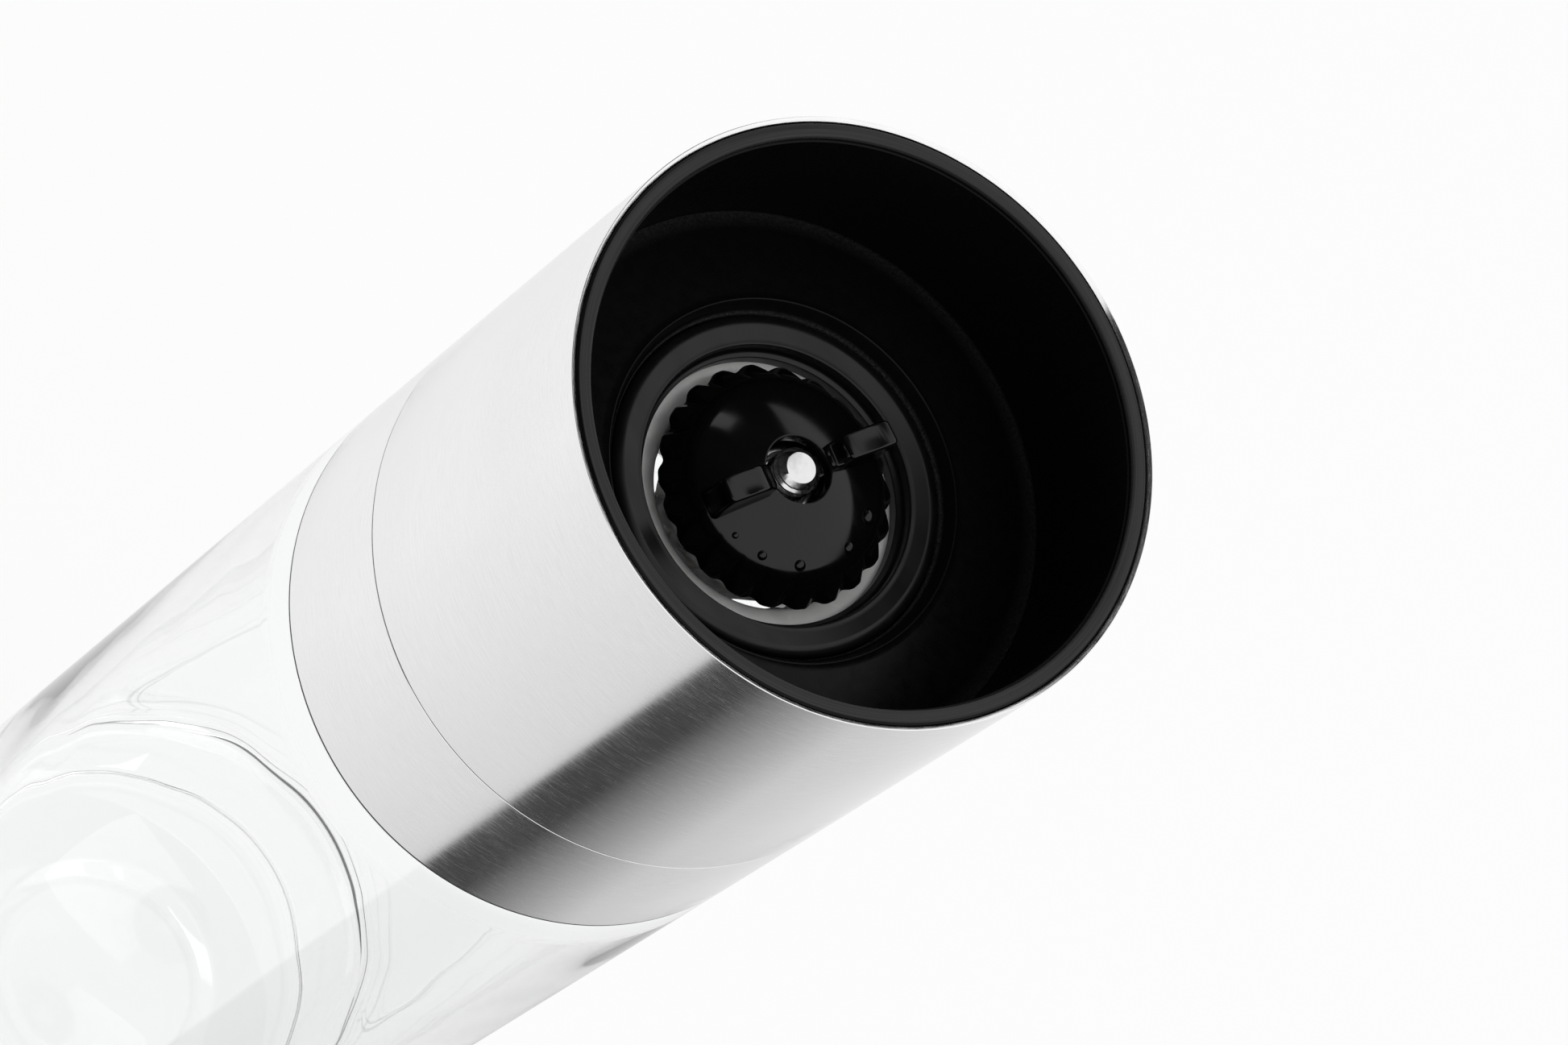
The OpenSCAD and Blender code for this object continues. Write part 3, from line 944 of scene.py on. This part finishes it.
def jar_mesh(shape):
    """The glass jar: thick base, uneven inner wall, shoulder and threaded neck."""
    outer = reach("jar")
    neck_top = top("jar")
    shoulder = low("collar_shell") - 0.13 * MM
    neck_out = reach("neck_seal")
    neck_in = neck_out - 2.9 * MM
    inner = outer - shape.jar_wall
    fillet = 6.4 * MM
    thread_low = shoulder + 1.6 * MM
    thread_high = neck_top - 1.4 * MM
    pitch = 4 * MM
    bowl_steps = 28
    bowl_depth = 16 * MM
    ripple_low = 26 * MM
    ripple_full = 40 * MM
    quarters = [math.pi / 2 * step / bowl_steps for step in range(bowl_steps + 1)]
    bowl = [(inner * math.cos(turn), shape.jar_base + bowl_depth * (1 - math.sin(turn))) for turn in quarters]
    bowl[-1] = (0, shape.jar_base)
    mesh = turned(
        [
            (0, 0.8 * MM),
            (11 * MM, 0.8 * MM, 1 * MM),
            (14 * MM, 0, 0.5 * MM),
            (outer, 0, 2.2 * MM),
            (outer, shoulder, 0.45 * MM),
            (neck_out, shoulder, 0.3 * MM),
            (neck_out, neck_top, 0.5 * MM),
            (neck_in, neck_top, 0.5 * MM),
            (neck_in, shoulder - 1 * MM, 0.8 * MM),
            ((neck_in + inner) / 2 + 0.3 * MM, shoulder - fillet / 2 - 0.4 * MM, 1.2 * MM),
            (inner, shoulder - fillet, 0.6 * MM),
            *bowl,
        ],
        steps=288,
        fine=((thread_low, thread_high, 0.2 * MM), (ripple_low, shoulder - fillet, 1.5 * MM)),
        closed=False,
    )

    def moulded(distance, angle, height):
        if height > thread_low and distance > neck_out - 0.1 * MM:
            phase = ((height - thread_low) / pitch - angle / TURN) % 1
            rib = smoothstep(0.16 - abs(phase - 0.5), 0, 0.08)
            ends = smoothstep(height, thread_low, thread_low + 0.5 * MM)
            ends *= smoothstep(thread_high - height, 0, 0.5 * MM)
            return distance + shape.neck_thread * rib * ends, height
        if inner - 0.5 * MM < distance < inner + 0.5 * MM:
            slow = math.sin(3 * angle + height * 60) + 0.4 * math.sin(5 * angle - height * 95 + 1.3)
            fade = smoothstep(shoulder - fillet - height, 0, 14 * MM)
            fade *= smoothstep(height, ripple_low, ripple_full)
            return distance + shape.glass_ripple * slow * fade, height
        return distance, height

    return worked(mesh, moulded)


# ---------------------------------------------------------------- operators


class MillPiece:
    """What the mill's operators share."""

    bl_options = {"REGISTER", "UNDO"}


class MILL_OT_steel_shells(MillPiece, bpy.types.Operator):
    """Builds the brushed steel sleeve and collar"""

    bl_idname = "mill.steel_shells"
    bl_label = "Steel Shells"

    def execute(self, context):
        shape = context.scene.mill_shape
        steel_shell("steel_sleeve", "sleeve_shell", "head", shape)
        steel_shell("steel_collar", "collar_shell", "collar", shape, shape.washer_line, 0.1 * MM)
        piece("collar_washer", washer_mesh(shape), finish("black_plastic"), "collar")
        return {"FINISHED"}


class MILL_OT_recess_liner(MillPiece, bpy.types.Operator):
    """Builds the black plastic liner of the recess"""

    bl_idname = "mill.recess_liner"
    bl_label = "Recess Liner"

    def execute(self, context):
        mesh = liner_mesh(context.scene.mill_shape)
        piece("recess_liner", mesh, finish("liner_black"), "head", ["head_liner"])
        return {"FINISHED"}


class MILL_OT_grinder_housing(MillPiece, bpy.types.Operator):
    """Builds the glossy housing that holds the ceramic ring"""

    bl_idname = "mill.grinder_housing"
    bl_label = "Grinder Housing"

    def execute(self, context):
        mesh = housing_mesh()
        piece("housing_flange", mesh, finish("gloss_black"), "head", ["grinder_housing"])
        return {"FINISHED"}


class MILL_OT_ceramic_burrs(MillPiece, bpy.types.Operator):
    """Builds the fixed ceramic ring and the turning ceramic rotor"""

    bl_idname = "mill.ceramic_burrs"
    bl_label = "Ceramic Burrs"

    def execute(self, context):
        shape = context.scene.mill_shape
        ceramic = finish("burr_ceramic")
        piece("ceramic_ring", ring_mesh(shape), ceramic, "head", ["burr_ring"])
        piece("ceramic_rotor", rotor_mesh(shape), ceramic, "rotor", ["rotor_burr"])
        return {"FINISHED"}


class MILL_OT_adjuster_knob(MillPiece, bpy.types.Operator):
    """Builds the fluted knob that sets the grind"""

    bl_idname = "mill.adjuster_knob"
    bl_label = "Adjuster Knob"

    def execute(self, context):
        mesh = knob_mesh(context.scene.mill_shape)
        piece("fluted_knob", mesh, finish("gloss_black"), "knob", ["adjuster_knob"])
        return {"FINISHED"}


class MILL_OT_stud_and_nut(MillPiece, bpy.types.Operator):
    """Builds the threaded spindle and the knob's nut"""

    bl_idname = "mill.stud_and_nut"
    bl_label = "Stud and Nut"

    def execute(self, context):
        shape = context.scene.mill_shape
        steel = finish("bright_steel")
        piece("threaded_spindle", spindle_mesh(shape), steel, "collar", ["spindle"])
        piece("hexagon_nut", nut_mesh(shape), steel, "knob", ["knob_nut"])
        return {"FINISHED"}


class MILL_OT_glass_jar(MillPiece, bpy.types.Operator):
    """Builds the clear glass jar"""

    bl_idname = "mill.glass_jar"
    bl_label = "Glass Jar"

    def execute(self, context):
        mesh = jar_mesh(context.scene.mill_shape)
        piece("glass_jar", mesh, finish("clear_glass"), "jar", ["jar"])
        return {"FINISHED"}


class MILL_OT_inner_parts(MillPiece, bpy.types.Operator):
    """Gives every part kept from the frame its finish"""

    bl_idname = "mill.inner_parts"
    bl_label = "Inner Parts"

    def execute(self, context):
        slots = {part["node"]: part["material_slot"] for part in frame["record"]["subparts"]}
        for node, made in frame["nodes"].items():
            if made.hide_render:
                continue
            made.data.materials.clear()
            made.data.materials.append(finish(slots[node]))
        return {"FINISHED"}


def only_seen_in_reflections(card):
    """Keeps a studio card out of the camera's view and out of the light."""
    card.visible_camera = False
    card.visible_diffuse = False
    card.visible_shadow = False
    card.visible_volume_scatter = False
    card.visible_glossy = True
    card.visible_transmission = False


def stage_mesh(name, mesh, material):
    data = bpy.data.meshes.new(name)
    mesh.to_mesh(data)
    mesh.free()
    data.materials.append(material)
    made = bpy.data.objects.new(name, data)
    bpy.context.scene.collection.objects.link(made)
    return made


def seen_directly(tree):
    """1 for camera, glossy and transmission rays, and 0 for the rest."""
    path = tree.nodes.new("ShaderNodeLightPath")
    total = path.outputs["Is Camera Ray"]
    for ray in ("Is Glossy Ray", "Is Transmission Ray"):
        add = tree.nodes.new("ShaderNodeMath")
        add.operation = "MAXIMUM"
        tree.links.new(total, add.inputs[0])
        tree.links.new(path.outputs[ray], add.inputs[1])
        total = add.outputs["Value"]
    return total


def floor_material(share):
    """Pale floor that reads white and still takes the mill's shadow."""
    made = bpy.data.materials.new("studio_floor")
    made.use_nodes = True
    tree = made.node_tree
    tree.nodes.clear()
    output = tree.nodes.new("ShaderNodeOutputMaterial")
    mix = tree.nodes.new("ShaderNodeMixShader")
    pale = tree.nodes.new("ShaderNodeBsdfDiffuse")
    pale.inputs["Color"].default_value = (0.9, 0.9, 0.9, 1)
    white = tree.nodes.new("ShaderNodeEmission")
    factor = tree.nodes.new("ShaderNodeMath")
    factor.operation = "MULTIPLY"
    factor.inputs[1].default_value = share
    tree.links.new(seen_directly(tree), factor.inputs[0])
    tree.links.new(factor.outputs["Value"], mix.inputs["Fac"])
    tree.links.new(pale.outputs["BSDF"], mix.inputs[1])
    tree.links.new(white.outputs["Emission"], mix.inputs[2])
    tree.links.new(mix.outputs["Shader"], output.inputs["Surface"])
    return made


class Glow(Finish):
    """A card that shines evenly, or as the nodes that drive it say."""

    def __init__(self, name, strength=1.0):
        self.material = bpy.data.materials.new(name)
        self.material.use_nodes = True
        self.tree = self.material.node_tree
        self.tree.nodes.clear()
        self.lamp = self.add("ShaderNodeEmission")
        self.lamp.inputs["Strength"].default_value = strength
        self.join(self.lamp.outputs["Emission"], self.add("ShaderNodeOutputMaterial").inputs["Surface"])
        self.place = self.add("ShaderNodeTexCoord").outputs["Object"]

    def shine(self, strength):
        self.join(strength, self.lamp.inputs["Strength"])
        return self.material


# The tent's lower half: a lit side that falls off towards a dark flag, and a shaded side beyond the flag.
# The places are azimuths in degrees.
LIT = 0.9
LIT_BY_FLAG = 0.7
FALL_START = 240
FLAG_START = 288.6
FLAG_END = 298
FLAG_EDGE = 1
DARK = 0.05
SHADE = 0.6
SHADE_START = 320


# Sizes and places in the studio, in metres
FLOOR_RADIUS = 2.5
FLOOR_GAP = 0.5 * MM
TENT_RADIUS = 3
SOFTBOX_SIZE = 0.9
SOFTBOX_PLACE = (0.45, 0.1, 1.05)

# Corners of the two overhead cards in metres, and their heights above the rim
FLAG_CORNERS = ((-0.02, 0.42), (-0.01, -0.09), (-0.17, -0.56), (-0.8, -3), (-3, 2.3))
FLAG_RISE = 0.6
CATCH_CORNERS = ((-0.58, 0.15), (-0.4, 0.2), (-0.44, 0.33), (-0.6, 0.3))
CATCH_RISE = 0.55


def tent_material(offset):
    """White above, and below it a lit side, a dark flag and a shaded side, centred offset radii along Y."""
    made = Glow("light_tent")
    aim = made.add("ShaderNodeVectorMath", operation="NORMALIZE")
    parts = made.add("ShaderNodeSeparateXYZ")
    made.join(made.place, aim.inputs[0])
    made.join(aim.outputs["Vector"], parts.inputs["Vector"])
    turn = made.sum(made.sum(parts.outputs["Y"], offset, "SUBTRACT"), parts.outputs["X"], "ARCTAN2")
    azimuth = made.sum(made.sum(made.sum(turn, TURN, "DIVIDE"), 0, "FRACT"), 360, "MULTIPLY")
    before_flag = made.ranged(azimuth, FLAG_START, FLAG_START + FLAG_EDGE, 1, 0)
    lit = made.sum(made.ranged(azimuth, FALL_START, FLAG_START, LIT, LIT_BY_FLAG), before_flag, "MULTIPLY")
    shaded = made.sum(
        made.ranged(azimuth, FLAG_END, SHADE_START, DARK, SHADE),
        made.ranged(azimuth, SHADE_START, 360, 0, LIT - SHADE),
    )
    upper = made.ranged(parts.outputs["Z"], -0.02, 0.02, 0, 1)
    return made.shine(made.sum(made.sum(lit, shaded, "MAXIMUM"), upper, "MAXIMUM"))


class MILL_OT_studio(MillPiece, bpy.types.Operator):
    """Sets up the floor, the soft light, the cards and the camera"""

    bl_idname = "mill.studio"
    bl_label = "Studio"

    def execute(self, context):
        studio = context.scene.mill_studio
        self.floor(studio)
        self.tent(studio)
        self.light(context, studio)
        self.camera(context, studio)
        context.scene.view_settings.view_transform = "Standard"
        return {"FINISHED"}

    def floor(self, studio):
        """A pale floor, which the glass sees and the steel looks past to the tent."""
        mesh = bmesh.new()
        bmesh.ops.create_circle(mesh, cap_ends=True, segments=96, radius=FLOOR_RADIUS)
        bmesh.ops.translate(mesh, verts=mesh.verts[:], vec=(0, 0, -FLOOR_GAP))
        floor = stage_mesh("floor", mesh, floor_material(studio.backdrop_share))
        floor.visible_glossy = False

    def tent(self, studio):
        """The tent, the overhead flag and the catch light, which only reflections see."""
        mesh = bmesh.new()
        bmesh.ops.create_uvsphere(mesh, u_segments=64, v_segments=32, radius=TENT_RADIUS)
        tent = stage_mesh("light_tent", mesh, tent_material(math.sin(studio.tilt)))
        only_seen_in_reflections(tent)
        flag = Glow("overhead_flag")
        across = flag.add("ShaderNodeSeparateXYZ")
        flag.join(flag.place, across.inputs["Vector"])
        flag.shine(flag.ranged(across.outputs["X"], -0.14, -0.03, 0.025, 1, smooth=True))
        cards = ((flag, FLAG_RISE, FLAG_CORNERS), (Glow("catch_light", 1.3), CATCH_RISE, CATCH_CORNERS))
        for glow, rise, corners in cards:
            mesh = bmesh.new()
            mesh.faces.new([mesh.verts.new((x, y, RIM + rise)) for x, y in corners])
            card = stage_mesh(glow.material.name, mesh, glow.material)
            only_seen_in_reflections(card)

    def light(self, context, studio):
        world = bpy.data.worlds.new("studio_world")
        context.scene.world = world
        world.use_nodes = True
        tree = world.node_tree
        sky = next(n for n in tree.nodes if n.type == "BACKGROUND")
        strength = tree.nodes.new("ShaderNodeMapRange")
        strength.inputs["To Min"].default_value = studio.fill
        strength.inputs["To Max"].default_value = 1
        sky.inputs["Color"].default_value = (1, 1, 1, 1)
        tree.links.new(seen_directly(tree), strength.inputs["Value"])
        tree.links.new(strength.outputs["Result"], sky.inputs["Strength"])
        lamp = bpy.data.lights.new("softbox", "AREA")
        lamp.shape = "SQUARE"
        lamp.size = SOFTBOX_SIZE
        lamp.energy = studio.softbox_radiance * math.pi * SOFTBOX_SIZE**2
        holder = bpy.data.objects.new("softbox", lamp)
        holder.location = SOFTBOX_PLACE
        aim = Vector((0, 0, RIM)) - holder.location
        holder.rotation_euler = aim.to_track_quat("-Z", "Y").to_euler()
        holder.visible_glossy = False
        holder.visible_camera = False
        context.scene.collection.objects.link(holder)

    def camera(self, context, studio):
        data = bpy.data.cameras.new("camera")
        data.lens = studio.lens
        data.sensor_width = 36
        data.clip_start = 0.01
        data.clip_end = 20
        made = bpy.data.objects.new("camera", data)
        look = Matrix.Rotation(studio.tilt, 4, "X") @ Matrix.Rotation(studio.roll, 4, "Z")
        made.matrix_world = Matrix.Translation(studio.place) @ look
        context.scene.collection.objects.link(made)
        context.scene.camera = made


PIECES = (
    MILL_OT_steel_shells,
    MILL_OT_recess_liner,
    MILL_OT_grinder_housing,
    MILL_OT_ceramic_burrs,
    MILL_OT_adjuster_knob,
    MILL_OT_stud_and_nut,
    MILL_OT_glass_jar,
    MILL_OT_inner_parts,
    MILL_OT_studio,
)


class MILL_PT_sidebar(bpy.types.Panel):
    """Lists the mill's settings and the operators that build it"""

    bl_idname = "MILL_PT_sidebar"
    bl_label = "Pepper Mill"
    bl_space_type = "VIEW_3D"
    bl_region_type = "UI"
    bl_category = "Pepper Mill"

    def draw(self, context):
        scene = context.scene
        for settings in (scene.mill_shape, scene.mill_finish, scene.mill_studio):
            box = self.layout.box()
            for key in settings.__annotations__:
                box.prop(settings, key)
        for operator in PIECES:
            self.layout.operator(operator.bl_idname)


CLASSES = (MillShape, MillFinish, MillStudio, *PIECES, MILL_PT_sidebar)


def register():
    for item in CLASSES:
        bpy.utils.register_class(item)
    bpy.types.Scene.mill_shape = PointerProperty(type=MillShape)
    bpy.types.Scene.mill_finish = PointerProperty(type=MillFinish)
    bpy.types.Scene.mill_studio = PointerProperty(type=MillStudio)


def unregister():
    del bpy.types.Scene.mill_studio
    del bpy.types.Scene.mill_finish
    del bpy.types.Scene.mill_shape
    for item in reversed(CLASSES):
        bpy.utils.unregister_class(item)


def main():
    register()
    bpy.ops.mill.steel_shells()
    bpy.ops.mill.recess_liner()
    bpy.ops.mill.grinder_housing()
    bpy.ops.mill.ceramic_burrs()
    bpy.ops.mill.adjuster_knob()
    bpy.ops.mill.stud_and_nut()
    bpy.ops.mill.glass_jar()
    bpy.ops.mill.inner_parts()
    bpy.ops.mill.studio()


if __name__ == "__main__":
    main()
